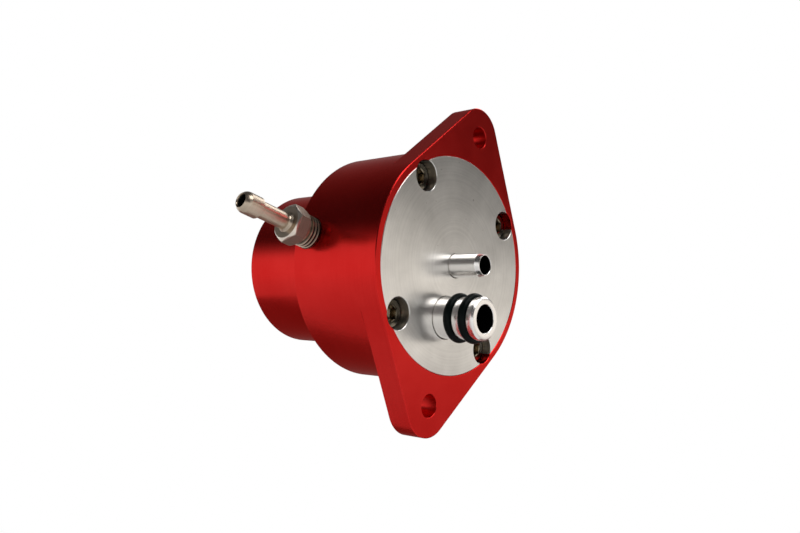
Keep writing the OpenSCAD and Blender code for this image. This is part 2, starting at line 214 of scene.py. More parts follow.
tubeLook = {"dark": (0.77, 0.75, 0.73, 1), "pale": (0.90, 0.88, 0.85, 1), "bore": (0.02, 0.022, 0.022, 1),
            "marks": (5.0, 3.0), "cloud": (70.0, 3.0), "markShare": 0.6, "metal": 0.96, "rough": (0.17, 0.26),
            "bump": 0.02, "returnBore": (2.27, 2.31), "inletBore": (3.32, 3.36), "inletZ": -13.1}


# tubes with fine marks from the lathe, and painted shade inside the bores
def makeTurnedAluminium():
    paint = Paint("turnedAluminium")
    look = tubeLook
    x, y, z = paint.axes()
    marks = paint.lines(y, *look["marks"])
    cloud = paint.noise(*look["cloud"])
    mixed = paint.spread(marks * look["markShare"] + cloud * (1 - look["markShare"]), *noiseNarrow, 0.0, 1.0)
    # painted shade: the inside of both bores is coloured near black
    returnBoreShade = paint.spread(away(x, z), *look["returnBore"], 1.0, 0.0)
    inletBoreShade = paint.spread(away(x, z - look["inletZ"]), *look["inletBore"], 1.0, 0.0)
    shade = paint.blend(returnBoreShade + inletBoreShade, paint.blend(mixed, look["dark"], look["pale"]), look["bore"])
    return paint.finish(Base_Color=shade, Metallic=look["metal"], Normal=paint.bump(marks, look["bump"]),
                        Roughness=paint.spread(mixed, 0.0, 1.0, *look["rough"]))


fittingLook = {"bright": (0.59, 0.49, 0.385, 1), "dark": (0.41, 0.332, 0.255, 1), "flat": (0.20, 0.14, 0.11, 1),
               "edge": (0.74, 0.66, 0.57, 1), "threadAndBoreShade": (0.02, 0.018, 0.017, 1), "along": 22.8, "drop": -0.8,
               "marks": (6.0, 2.0), "grooves": (25.0, 0.0), "cloud": (150.0, 3.0), "markShare": 0.4, "mottleShare": 0.35,
               "flatsFrom": (4.02, 4.14), "bevel": (3.82, 3.92), "bevelTo": (-35.25, -34.95),
               "threadFrom": (-30.95, -30.6), "valley": (3.55, 3.85), "bore": (1.42, 1.52),
               "flatMetal": 0.35, "rough": (0.285, 0.31), "flatRough": 0.15, "shadedRough": 0.2, "bump": (0.06, 0.0002)}


# turned nickel, with the hexagon's flats darker and duller, a painted highlight on its bevel, and painted shade in the
# thread and the bore
def makeNickel():
    paint = Paint("nickelBrass")
    look = fittingLook
    x, y, z = paint.axes()
    marks = paint.lines(x, *look["marks"])
    grooves = paint.lines(x, *look["grooves"])
    cloud = paint.noise(*look["cloud"])
    radius = away(y - look["along"], z - look["drop"])
    behind = paint.spread(x, *look["bevelTo"], 0.0, 1.0)
    dull = paint.spread(radius, *look["flatsFrom"], 0.0, 1.0) * behind
    # painted highlight: the bevel ring at the front of the hexagon gets the paler edge colour
    bevel = paint.spread(radius, *look["bevel"], 0.0, 1.0) * (1.0 - behind)
    # painted shade: the thread's valleys near the body and the inside of the bore are coloured near black
    thread = paint.spread(x, *look["threadFrom"], 0.0, 1.0) * paint.spread(radius, *look["valley"], 1.0, 0.0)
    threadAndBoreShade = thread.most(paint.spread(radius, *look["bore"], 1.0, 0.0))
    patch = paint.spread(marks * look["markShare"] + cloud * (1 - look["markShare"]), *noiseNarrow, 0.0, 1.0)
    # the hexagon's flats are coloured darker, with patches of the plain metal
    mottled = paint.blend(patch * look["mottleShare"], look["flat"], look["dark"])
    plain = paint.blend(bevel, paint.blend(patch, look["dark"], look["bright"]), look["edge"])
    tone = paint.blend(dull, plain, mottled)
    rough = paint.spread(cloud, *noiseWide, *look["rough"]) + dull * look["flatRough"] + threadAndBoreShade * look["shadedRough"]
    return paint.finish(Base_Color=paint.blend(threadAndBoreShade, tone, look["threadAndBoreShade"]), Metallic=1.0 - dull * look["flatMetal"],
                        Roughness=rough, Normal=paint.bump(grooves, *look["bump"]))


metalLook = {"cloud": (80.0, 4.0), "dark": 0.8, "rough": (0.8, 1.25)}


def makePlainMetal(name, colour, rough):
    paint = Paint(name)
    look = metalLook
    cloud = paint.noise(*look["cloud"])
    shade = paint.blend(paint.spread(cloud, *noiseNarrow, 0.0, 1.0), dimmed(colour, look["dark"]), colour)
    low, high = (rough * share for share in look["rough"])
    return paint.finish(Base_Color=shade, Metallic=1.0, Roughness=paint.spread(cloud, *noiseWide, low, high))


screwLook = {"black": (0.085, 0.072, 0.052, 1), "dark": 0.7, "glint": (0.55, 0.46, 0.33, 1), "spot": 16.758,
             "cloud": (500.0, 4.0), "socket": (1.8, 2.2), "rim": (3.0, 3.35), "head": (3.6, 3.8),
             "glintFrom": (1.0, 1.6), "glintShare": 0.8, "rough": (0.17, 0.26)}


# black oxide, with a painted glint around the sockets and the rims of the four heads
def makeScrewSteel():
    paint = Paint("blackSteel")
    look = screwLook
    x, y, z = paint.axes()
    radius = away(abs(x) - look["spot"], abs(z) - look["spot"])
    cloud = paint.noise(*look["cloud"])
    near = paint.spread(radius, *look["head"], 1.0, 0.0)
    edge = paint.spread(radius, *look["socket"], 1.0, 0.0) + paint.spread(radius, *look["rim"], 0.0, 1.0)
    # painted glint: a pale tan colour on the socket mouths and the head rims
    glint = paint.spread(edge + cloud, *look["glintFrom"], 0.0, look["glintShare"]) * near
    dark = paint.blend(cloud, dimmed(look["black"], look["dark"]), look["black"])
    return paint.finish(Base_Color=paint.blend(glint, dark, look["glint"]), Metallic=1.0,
                        Roughness=paint.spread(cloud, *noiseWide, *look["rough"]))


rubberLook = {"grain": (900.0, 3.0), "cloud": 120.0, "tone": (0.35, 0.7), "pale": 1.6, "rough": (0.85, 1.2),
              "bump": 0.1, "specular": 0.07}


def makeRubber(name, colour, rough):
    paint = Paint(name)
    look = rubberLook
    grain = paint.noise(*look["grain"])
    tone = paint.spread(paint.noise(look["cloud"]), *look["tone"], 0.0, 1.0)
    low, high = (rough * share for share in look["rough"])
    return paint.finish(Base_Color=paint.blend(tone, colour, dimmed(colour, look["pale"])),
                        Roughness=paint.spread(grain, *noiseWide, low, high),
                        Normal=paint.bump(grain, look["bump"]), Specular_IOR_Level=look["specular"])


finishes = {
    "red_anodised": makeRedAnodised(),
    "satin_aluminium": makeSatinAluminium(),
    "turned_aluminium": makeTurnedAluminium(),
    "seat_brass": makePlainMetal("seatBrass", (0.72, 0.56, 0.28, 1), 0.21),
    "black_rubber": makeRubber("blackRubber", (0.0012, 0.0028, 0.0026, 1), 0.34),
    "black_steel": makeScrewSteel(),
    "diaphragm_rubber": makeRubber("diaphragmRubber", (0.16, 0.10, 0.06, 1), 0.6),
    "zinc_steel": makePlainMetal("zincSteel", (0.66, 0.60, 0.46, 1), 0.36),
    "bright_steel": makePlainMetal("brightSteel", (0.68, 0.68, 0.68, 1), 0.21),
    "polished_steel": makePlainMetal("polishedSteel", (0.80, 0.80, 0.81, 1), 0.1),
    "spring_steel": makePlainMetal("springSteel", (0.40, 0.41, 0.43, 1), 0.36),
    "sealing_nylon": makeRubber("sealingNylon", (0.5, 0.48, 0.42, 1), 0.5),
    "nickel_brass": makeNickel(),
}
print("finishes made:", len(finishes))

# shapes are drawn in millimetres; these are the distances within which points are joined
fineWeld, threadWeld, cutWeld = 1e-5, 1e-4, 5e-4
fullTurn = 2 * math.pi
sharpAngle = math.radians(32)
cornerSteps, cornerShare = 3, 0.45


# corner points (radius, along, fillet) as an outline with rounded corners
def rounded(corners, closed=True):
    outline = []
    last = len(corners) - 1
    for i, (radius, along, fillet) in enumerate(corners):
        here = Vector((radius, along))
        if fillet <= 0 or (not closed and i in (0, last)):
            outline.append(here)
            continue
        before = Vector(corners[i - 1][:2]) - here
        after = Vector(corners[(i + 1) % len(corners)][:2]) - here
        reach = min(fillet / math.tan(before.angle(after) / 2), before.length * cornerShare, after.length * cornerShare)
        first, final = here + before.normalized() * reach, here + after.normalized() * reach
        for k in range(cornerSteps + 1):
            t = k / cornerSteps
            outline.append(first * (1 - t) ** 2 + here * (2 * t * (1 - t)) + final * t ** 2)
    return outline


# an outline turned about the Y axis, as a ring or, if it starts and ends on the axis, as a solid
def turned(outline, steps, ring=True, centre=(0, 0)):
    shape = bmesh.new()
    dots = [shape.verts.new((max(radius, 0), along, 0)) for radius, along in outline]
    edges = [shape.edges.new(pair) for pair in zip(dots, dots[1:])]
    if ring:
        edges.append(shape.edges.new((dots[-1], dots[0])))
    bmesh.ops.spin(shape, geom=dots + edges, cent=(0, 0, 0), axis=(0, 1, 0), angle=fullTurn,
                   steps=steps, use_merge=True)
    bmesh.ops.remove_doubles(shape, verts=shape.verts, dist=fineWeld)
    bmesh.ops.recalc_face_normals(shape, faces=shape.faces)
    bmesh.ops.translate(shape, verts=shape.verts, vec=(centre[0], 0, centre[1]))
    return shape


# a solid with flat ends, such as a drill, from its outline between them
def plug(outline, steps, centre=(0, 0)):
    return turned([(0, outline[0][1])] + outline + [(0, outline[-1][1])], steps, ring=False, centre=centre)


# rings of points with equal counts, joined one to the next
def lofted(rings, fill=True):
    shape = bmesh.new()
    order = shape.verts.layers.int.new("order")
    dots = [shape.verts.new(point) for point in rings[0]]
    for i, dot in enumerate(dots):
        dot[order] = i
    rim = [shape.edges.new((dots[i - 1], dots[i])) for i in range(len(dots))]
    for ring in rings[1:]:
        made = bmesh.ops.extrude_edge_only(shape, edges=rim)["geom"]
        fresh = {item for item in made if isinstance(item, bmesh.types.BMVert)}
        rim = [item for item in made if isinstance(item, bmesh.types.BMEdge)
               and item.verts[0] in fresh and item.verts[1] in fresh]
        for dot in fresh:
            dot.co = ring[dot[order]]
    bmesh.ops.remove_doubles(shape, verts=shape.verts, dist=fineWeld)
    if fill:
        bmesh.ops.holes_fill(shape, edges=shape.edges, sides=0)
    bmesh.ops.recalc_face_normals(shape, faces=shape.faces)
    return shape


# one ring about the Y axis; the section gives radius and place along it, fixed or by angle
def ringOf(count, section):
    points = []
    for i in range(count):
        angle = fullTurn * i / count
        radius, along = section(angle) if callable(section) else section
        points.append(Vector((radius * math.cos(angle), along, radius * math.sin(angle))))
    return points


def hexRadius(angle, flats):
    return flats / 2 / math.cos(angle % (fullTurn / 6) - fullTurn / 12)


# one pitch of thread: on the crest or not, and the share of the pitch
threadProfile = [(False, 0.0), (False, 0.08), (True, 0.44), (True, 0.56), (False, 0.92), (False, 1.0)]


# a helical thread about the Y axis, cut square at both ends
def threaded(spec):
    low, high, pitch = spec["major"] - spec["depth"], spec["major"], spec["pitch"]
    turns = math.ceil((spec["end"] - spec["start"]) / pitch) + 2
    shape = bmesh.new()
    dots = [shape.verts.new((high if crest else low, spec["start"] + (share - 1.5) * pitch, 0))
            for crest, share in threadProfile]
    edges = [shape.edges.new(pair) for pair in zip(dots, dots[1:])]
    bmesh.ops.spin(shape, geom=dots + edges, cent=(0, 0, 0), axis=(0, 1, 0), dvec=(0, pitch / spec["steps"], 0),
                   angle=fullTurn * turns, steps=spec["steps"] * turns)
    bmesh.ops.remove_doubles(shape, verts=shape.verts, dist=threadWeld)
    for place, side in ((spec["start"], -1), (spec["end"], 1)):
        bmesh.ops.bisect_plane(shape, geom=shape.verts[:] + shape.edges[:] + shape.faces[:], dist=fineWeld,
                               plane_co=(0, place, 0), plane_no=(0, side, 0), clear_outer=True)
    for dot in shape.verts:
        slim = 1 - spec["taper"] * (spec["end"] - dot.co.y) / high
        dot.co.x *= slim
        dot.co.z *= slim
    return shape


def asObject(name, shape):
    mesh = bpy.data.meshes.new(name)
    shape.to_mesh(mesh)
    shape.free()
    thing = bpy.data.objects.new(name, mesh)
    bpy.context.scene.collection.objects.link(thing)
    return thing


# the shape with the cutters' volumes taken away
def carved(shape, cutters):
    work = asObject("work", shape)
    helpers = [asObject("cutter", cutter) for cutter in cutters]
    for helper in helpers:
        cut = work.modifiers.new("cut", "BOOLEAN")
        cut.operation, cut.solver, cut.object = "DIFFERENCE", "EXACT", helper
    mesh = bpy.data.meshes.new_from_object(work.evaluated_get(bpy.context.evaluated_depsgraph_get()))
    result = bmesh.new()
    result.from_mesh(mesh)
    bmesh.ops.remove_doubles(result, verts=result.verts, dist=cutWeld)
    bmesh.ops.dissolve_degenerate(result, edges=result.edges, dist=cutWeld)
    for gone in [work] + helpers:
        bpy.data.objects.remove(gone)
    return result


def merged(shapes):
    whole = bmesh.new()
    for shape in shapes:
        mesh = bpy.data.meshes.new("part")
        shape.to_mesh(mesh)
        shape.free()
        whole.from_mesh(mesh)
    return whole


# millimetres to metres, clean shading, and the tie to the CAD frame; the tie is a body's name, or two bodies and
# two heights, which are not used: such a piece is only fixed where it stands
def finished(name, shape, slot, tie, nodes):
    for face in shape.faces:
        face.smooth = True
    for edge in shape.edges:
        edge.smooth = len(edge.link_faces) < 2 or edge.calc_face_angle(0) < sharpAngle
    bmesh.ops.scale(shape, verts=shape.verts, vec=(mm, mm, mm))
    piece = asObject(name, shape)
    piece.data.materials.append(finishes[slot])
    even = piece.modifiers.new("even", "WEIGHTED_NORMAL")
    even.keep_sharp = True
    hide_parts(*nodes)
    if isinstance(tie, str):
        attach(piece, tie)
    else:
        first, second, start, end = tie
        start * mm
        end * mm
        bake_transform(piece)
    print(name, "has", len(piece.data.polygons), "faces")


screwCircle = 23.7
screwAngles = [math.radians(degrees) for degrees in (45, 135, 225, 315)]
screwSpots = [(screwCircle * math.cos(angle), screwCircle * math.sin(angle)) for angle in screwAngles]
counterbore = {"radius": 3.75, "floor": 6.37, "edge": 0.11, "over": 1.0, "steps": 96}


# the counterbore of one plate screw, cut from the plate and from the rim of the housing
def counterboreAt(spot):
    c = counterbore
    wide = c["radius"] + c["edge"] + c["over"]
    return plug([(wide, -c["over"]), (c["radius"], c["edge"]), (c["radius"], c["floor"])], c["steps"], spot)


flange = {"bodyR": 28.575, "reach": 34.45, "earR": 7.5, "thick": 6.35, "edge": 0.2, "soft": 0.05, "earBlend": 6,
          "recessR": 26.8, "recessEdge": 0.1, "holeR": 2.75, "holeEdge": 0.1, "over": 1.0, "arc": 40, "line": 24,
          "holeSteps": 64}


# outline of the flange as (x, z, ear), with ear 1 on the ears and 0 on the round body
def flangeRim(inset):
    wide, end, reach = flange["bodyR"] - inset, flange["earR"] - inset, flange["reach"]
    lean = math.asin((flange["bodyR"] - flange["earR"]) / reach)
    half = []
    for i in range(flange["arc"]):
        angle = -lean + 2 * lean * i / flange["arc"]
        half.append((wide * math.cos(angle), wide * math.sin(angle), 0.0))
    fromDot = Vector((wide * math.cos(lean), wide * math.sin(lean)))
    toDot = Vector((end * math.cos(lean), reach + end * math.sin(lean)))
    for i in range(flange["line"]):
        share = i / flange["line"]
        half.append((*fromDot.lerp(toDot, share), min(share * flange["earBlend"], 1)))
    for i in range(flange["arc"]):
        angle = lean + (math.pi - 2 * lean) * i / flange["arc"]
        half.append((end * math.cos(angle), reach + end * math.sin(angle), 1.0))
    for i in range(flange["line"]):
        share = 1 - i / flange["line"]
        dot = fromDot.lerp(toDot, share)
        half.append((-dot.x, dot.y, min(share * flange["earBlend"], 1)))
    return half + [(-x, -z, ear) for x, z, ear in half]


def makeFlange():
    f = flange
    angles = [math.atan2(z, x) for x, z, ear in flangeRim(0)]

    def circle(radius, along):
        return [(radius * math.cos(a), along, radius * math.sin(a)) for a in angles]

    rings = [circle(f["recessR"], f["thick"]), circle(f["recessR"], f["recessEdge"]),
             circle(f["recessR"] + f["recessEdge"], 0)]
    front = rounded([(2 * f["edge"], 0, 0), (f["edge"], 0, f["soft"]), (0, f["edge"], f["soft"]),
                     (0, f["thick"] / 2, 0)], closed=False)
    rings += [[(x, along, z) for x, z, ear in flangeRim(inset)] for inset, along in front[1:-1]]
    rear = rounded([(0, f["thick"] / 2, 0), (0, f["thick"] - f["edge"], f["soft"]),
                    (f["edge"], f["thick"], f["soft"]), (2 * f["edge"], f["thick"], 0)], closed=False)
    plain = flangeRim(0)
    # behind, only the ears have a broken edge, because the body goes on
    for inset, along in rear[1:-1]:
        drawn = flangeRim(inset)
        rings.append([(a[0] + (b[0] - a[0]) * a[2], along, a[1] + (b[1] - a[1]) * a[2])
                      for a, b in zip(plain, drawn)])
    rings.append(circle(f["recessR"], f["thick"]))
    wide = f["holeR"] + f["holeEdge"] + f["over"]
    hole = [(wide, -f["over"]), (f["holeR"], f["holeEdge"]), (f["holeR"], f["thick"] - f["holeEdge"]),
            (wide, f["thick"] + f["over"])]
    holes = [plug(hole, f["holeSteps"], (0, z)) for z in (-f["reach"], f["reach"])]
    return carved(lofted(rings), holes + [counterboreAt(spot) for spot in screwSpots])


barrel = {"bodyR": 28.575, "bodyEnd": 27.2, "noseR": 20.75, "noseEnd": 54.0, "edge": 0.4, "soft": 0.08, "step": 0.2,
          "start": 6.3, "seam": 0.05, "recessR": 26.8, "recessEnd": 10.5, "chamberR": 19.517, "chamberEnd": 24.6,
          "boreR": 16.017, "boreEnd": 48.0, "holeR": 4.05, "holeEdge": 0.5, "steps": 256}
port = {"along": 22.8, "drop": -0.8, "holeR": 3.95, "holeEdge": 0.2, "depth": 3.0, "flare": 0.2, "over": 3,
        "sunk": 0.45, "steps": 64}


# from a piece modelled along Y to the fitting's place, pointing to -X
def portPlace():
    return Matrix.Translation((0, port["along"], port["drop"])) @ Matrix.Rotation(fullTurn / 4, 4, "Z")


def makeBarrel():
    b, p = barrel, port
    outline = rounded([
        (b["bodyR"], b["start"], b["seam"]), (b["bodyR"], b["bodyEnd"] - b["edge"], b["soft"]),
        (b["bodyR"] - b["edge"], b["bodyEnd"], b["soft"]), (b["noseR"], b["bodyEnd"], b["step"]),
        (b["noseR"], b["noseEnd"] - b["edge"], b["soft"]), (b["noseR"] - b["edge"], b["noseEnd"], b["soft"]),
        (b["holeR"] + b["holeEdge"], b["noseEnd"], b["soft"]), (b["holeR"], b["noseEnd"] - b["holeEdge"], 0),
        (b["holeR"], b["boreEnd"], 0), (b["boreR"], b["boreEnd"], 0), (b["boreR"], b["chamberEnd"], 0),
        (b["chamberR"], b["chamberEnd"], 0), (b["chamberR"], b["recessEnd"], 0), (b["recessR"], b["recessEnd"], 0),
        (b["recessR"], b["start"], 0)])
    wide = p["holeR"] + p["holeEdge"]
    drill = plug([(p["holeR"], 0), (p["holeR"], p["depth"]), (wide, p["depth"] + p["holeEdge"] + p["flare"]),
                  (wide, p["depth"] + p["over"])], p["steps"])
    bmesh.ops.translate(drill, verts=drill.verts, vec=(0, b["bodyR"] - p["depth"] - p["sunk"], 0))
    drill.transform(portPlace())
    return carved(turned(outline, b["steps"]), [drill])


finished("redHousing", merged([makeFlange(), makeBarrel()]), "red_anodised", "case", ["housing"])

plate = {"radius": 26.75, "thick": 9.5, "edge": 0.14, "soft": 0.04, "fuelR": 17.5, "fuelFloor": 4.5,
         "tubeR": 3.0, "inletR": 5.22, "inletZ": -13.1, "holeEdge": 0.14, "over": 1, "steps": 256, "holeSteps": 96}


def makePlate():
    p = plate
    outline = rounded([
        (p["tubeR"], p["fuelFloor"], 0), (p["tubeR"], p["holeEdge"], 0), (p["tubeR"] + p["holeEdge"], 0, 0),
        (p["radius"] - p["edge"], 0, p["soft"]), (p["radius"], p["edge"], p["soft"]), (p["radius"], p["thick"], 0),
        (p["fuelR"], p["thick"], 0), (p["fuelR"], p["fuelFloor"], 0)])
    wide = p["inletR"] + p["holeEdge"] + p["over"]
    inletHole = plug([(wide, -p["over"]), (p["inletR"], p["holeEdge"]), (p["inletR"], p["fuelFloor"] + p["over"])],
                     p["holeSteps"], (0, p["inletZ"]))
    return carved(turned(outline, p["steps"]), [inletHole] + [counterboreAt(spot) for spot in screwSpots])


finished("basePlate", makePlate(), "satin_aluminium", "case", ["base_plate"])

returnTube = {"outer": 2.9, "bore": 2.25, "tip": -8.8, "tipEdge": (0.42, 1.2), "mouth": 0.12, "foot": 4.0,
              "soft": 0.04, "steps": 128}


def makeReturnTube():
    t = returnTube
    return turned(rounded([
        (t["bore"], t["tip"] + t["mouth"], t["soft"]), (t["bore"] + t["mouth"], t["tip"], t["soft"]),
        (t["outer"] - t["tipEdge"][0], t["tip"], t["soft"]), (t["outer"], t["tip"] + t["tipEdge"][1], t["soft"]),
        (t["outer"], t["foot"], 0), (t["bore"], t["foot"], 0)]), t["steps"])


finished("returnTube", makeReturnTube(), "turned_aluminium", "case", ["return_tube"])

inlet = {"outer": 5.1, "bore": 3.3, "tip": -11.5, "tipEdge": 0.42, "mouth": 0.15, "foot": 4.5, "soft": 0.05,
         "grooveR": 3.95, "grooves": (-8.45, -4.3), "grooveHalf": 1.2, "grooveSoft": 0.1, "z": -13.1, "steps": 160}


def makeInlet():
    t = inlet
    corners = [(t["bore"], t["tip"] + t["mouth"], t["soft"]), (t["bore"] + t["mouth"], t["tip"], t["soft"]),
               (t["outer"] - t["tipEdge"], t["tip"], t["soft"]), (t["outer"], t["tip"] + t["tipEdge"], t["soft"])]
    for middle in t["grooves"]:
        near, far = middle - t["grooveHalf"], middle + t["grooveHalf"]
        corners += [(t["outer"], near, t["soft"]), (t["grooveR"], near, t["grooveSoft"]),
                    (t["grooveR"], far, t["grooveSoft"]), (t["outer"], far, t["soft"])]
    corners += [(t["outer"], t["foot"], 0), (t["bore"], t["foot"], 0)]
    return turned(rounded(corners), t["steps"], centre=(0, t["z"]))


finished("inletSpigot", makeInlet(), "turned_aluminium", "case", ["inlet_spigot"])

sealRing = {"middle": 4.95, "wire": 0.985, "sides": 32, "steps": 160}


def makeSealRing(along):
    s = sealRing
    outline = []
    for i in range(s["sides"]):
        angle = fullTurn * i / s["sides"]
        outline.append((s["middle"] + s["wire"] * math.cos(angle), along + s["wire"] * math.sin(angle)))
    return turned(outline, s["steps"], centre=(0, inlet["z"]))


finished("sealRingOuter", makeSealRing(inlet["grooves"][0]), "black_rubber", "case", ["inlet_ring_outer"])
finished("sealRingInner", makeSealRing(inlet["grooves"][1]), "black_rubber", "case", ["inlet_ring_inner"])

# a hexagon socket that ends in a blunt cone has this radius at its point
socketPoint = 0.02
capScrew = {"top": 2.2, "under": 6.37, "headR": 3.43, "flats": 3.57, "socket": 2.1, "cone": 0.6, "mouth": (0.2, 0.22),
            "edge": 0.3, "lip": (0.08, 0.03), "neck": 0.12, "knurls": 40, "knurl": 0.09, "knurlEnd": 0.5,
            "hem": (0.1, 0.3), "hemIn": 0.2, "shankR": 2.083, "shankEdge": 0.4, "end": 19.07, "count": 240,
            "turn": 0.35}


def makeCapScrew(spot):
    c = capScrew
    top, under, headR, rimR = c["top"], c["under"], c["headR"], c["headR"] - c["edge"]

    def knurled(along):
        return lambda angle: (headR - c["knurl"] * (0.5 + 0.5 * math.cos(angle * c["knurls"])), along)

    def hexed(along, grow=0.0):
        return lambda angle: (hexRadius(angle, c["flats"]) + grow, along)

    sections = [(socketPoint, top + c["socket"] + c["cone"]), hexed(top + c["socket"]), hexed(top + c["mouth"][1]),
                hexed(top, c["mouth"][0]), (rimR - c["lip"][0], top), (rimR, top + c["lip"][1]),
                (headR - c["neck"], top + c["edge"]), knurled(top + c["edge"] + c["neck"]),
                knurled(under - c["knurlEnd"]), (headR - c["hem"][0], under - c["hem"][1]), (headR - c["hemIn"], under),
                (c["shankR"], under), (c["shankR"], c["end"] - c["shankEdge"]),
                (c["shankR"] - c["shankEdge"], c["end"]), (socketPoint, c["end"])]
    shape = lofted([ringOf(c["count"], section) for section in sections])
    bmesh.ops.rotate(shape, verts=shape.verts, cent=(0, 0, 0), matrix=Matrix.Rotation(c["turn"] + spot[0], 3, "Y"))
    bmesh.ops.translate(shape, verts=shape.verts, vec=(spot[0], 0, spot[1]))
    return shape


finished("plateScrews", merged([makeCapScrew(spot) for spot in screwSpots]), "black_steel", "case", ["plate_screws"])

fitting = {"flats": 8.3, "hexBack": 31.675, "hexFront": 35.775, "faceR": 3.88, "slope": 0.9, "hexTurn": 40.0,
           "hexHole": 1.8, "count": 96, "root": 3, "footR": 2.5, "foot": 0.6, "footSoft": 0.6, "stemR": 2.0,
           "stemSoft": 0.12, "barbAt": 44.175, "barbR": 2.55, "barbStep": 0.25, "barbSoft": 0.08, "tip": 49.375,
           "round": 1.8, "roundSteps": 8, "roundGap": 0.4, "boreR": 1.4, "lip": (0.3, 0.16, 0.05), "mouth": 0.7,
           "neckR": 3.35, "neckSlim": 0.2, "neckDrop": 0.1, "neckSoft": 0.15, "neckRoot": 1, "steps": 96}
pipeThread = {"major": 3.94, "depth": 0.55, "pitch": 0.941, "start": 27.2, "end": 30.75, "taper": 1 / 32, "steps": 64}


# a hexagon with its corners turned off at both ends, around a hole
def makeHexagon(spec, holeR):
    front, back, faceR = spec["hexFront"], spec["hexBack"], spec["faceR"]

    def corner(end, side):
        def section(angle):
            radius = hexRadius(angle, spec["flats"])
            return radius, end - side * spec["slope"] * max(radius - faceR, 0)
        return section

    sections = [(holeR, front), (faceR, front), corner(front, 1), corner(back, -1), (faceR, back), (holeR, back),
                (holeR, front)]
    return lofted([ringOf(spec["count"], section) for section in sections])


def makeFitting():
    s, p = fitting, pipeThread
    bore, front, back, tip = s["boreR"], s["hexFront"], s["hexBack"], s["tip"]
    dome = []
    for k in range(s["roundSteps"] + 1):
        angle = fullTurn / 4 * k / s["roundSteps"]
        radius = s["barbR"] - s["round"] + s["round"] * math.cos(angle)
        if radius > bore + s["roundGap"]:
            dome.append((radius, tip - s["round"] + s["round"] * math.sin(angle), 0))
    stem = [(bore, front - s["root"], 0), (s["footR"], front - s["root"], 0), (s["footR"], front, 0),
            (s["stemR"], front + s["foot"], s["footSoft"]), (s["stemR"], s["barbAt"], s["stemSoft"]),
            (s["barbR"], s["barbAt"] + s["barbStep"], s["barbSoft"])]
    lipR, lipDrop, lipSoft = s["lip"]
    mouth = [(bore + lipR, tip - lipDrop, lipSoft), (bore, tip - s["mouth"], 0)]
    barb = turned(rounded(stem + dome + mouth), s["steps"])
    neck = turned(rounded([
        (bore, p["start"], 0), (s["neckR"] - s["neckSlim"], p["start"], 0), (s["neckR"], p["end"] - s["neckDrop"], 0),
        (s["neckR"], back, s["neckSoft"]), (s["neckR"], back + s["neckRoot"], 0), (bore, back + s["neckRoot"], 0)]),
        s["steps"])
    thread = threaded(p)
    bmesh.ops.holes_fill(thread, edges=thread.edges, sides=0)
    whole = merged([barb, makeHexagon(s, s["hexHole"]), neck, thread])
    bmesh.ops.rotate(whole, verts=whole.verts, cent=(0, 0, 0),
                     matrix=Matrix.Rotation(-math.radians(s["hexTurn"]), 3, "Y"))
    whole.transform(portPlace())
    return whole


finished("vacuumFitting", makeFitting(), "nickel_brass", "case", ["vacuum_fitting"])

lockNut = {"flats": 12.7, "hexBack": 55.5, "hexFront": 60.26, "faceR": 6.1, "slope": 0.5, "count": 96, "holeR": 3.99}
finished("lockNut", makeHexagon(lockNut, lockNut["holeR"]), "bright_steel", "nut", ["lock_nut"])

setScrew = {"major": 3.93, "depth": 0.5, "pitch": 1.0583, "start": 46.0, "end": 64.95, "taper": 0.0, "steps": 64,
            "edge": 0.7, "flats": 3.97, "socket": 4.0, "cone": 0.5, "over": 1, "point": 39.9, "pointRoot": 0.3,
            "count": 48}


def makeSetScrew():
    s = setScrew
    shape = threaded(s)
    for dot in shape.verts:
        limit = s["major"] - max(dot.co.y - (s["end"] - s["edge"]), 0)
        radius = math.hypot(dot.co.x, dot.co.z)
        if radius > limit:
            dot.co.x *= limit / radius
            dot.co.z *= limit / radius
    bmesh.ops.holes_fill(shape, edges=shape.edges, sides=0)
    bmesh.ops.recalc_face_normals(shape, faces=shape.faces)
    floor, over = s["end"] - s["socket"], s["end"] + s["over"]
    key = lofted([ringOf(s["count"], section) for section in (
        (socketPoint, floor - s["cone"]), lambda angle: (hexRadius(angle, s["flats"]), floor),
        lambda angle: (hexRadius(angle, s["flats"]), over), (socketPoint, over))])
    core, root = s["major"] - s["depth"], s["start"] + s["pointRoot"]
    point = turned([(0, s["point"]), (core, s["point"] + s["major"]), (core, root), (0, root)], s["count"], ring=False)
    return merged([carved(shape, [key]), point])


finished("setScrew", makeSetScrew(), "black_steel", "adjuster", ["adjusting_screw"])

washer = {"inner": 4.2, "outer": 6.2, "front": 54.0, "back": 55.5, "soft": 0.25, "steps": 96}


def makeWasher():
    w = washer
    return turned(rounded([(w["inner"], w["front"], 0), (w["outer"], w["front"], w["soft"]),
                           (w["outer"], w["back"], w["soft"]), (w["inner"], w["back"], 0)]), w["steps"])


finished("sealingWasher", makeWasher(), "sealing_nylon", "case", ["sealing_washer"])

# the centre of the diaphragm lifts with the valve, and its roll and rim stay clamped in the case
diaphragm = {"low": 9.5, "high": 10.5, "holeR": 3.51, "centreR": 15.7, "rollMiddle": 17.517, "rollOut": 1.8,
             "rollIn": 0.8, "outerR": 26.75, "screwR": 2.283, "over": 1.0, "arc": 16, "steps": 160, "holeSteps": 48}


def makeDiaphragmCentre():
    d = diaphragm
    return turned([(d["holeR"], d["low"]), (d["centreR"], d["low"]), (d["centreR"], d["high"]),
                   (d["holeR"], d["high"])], d["steps"])


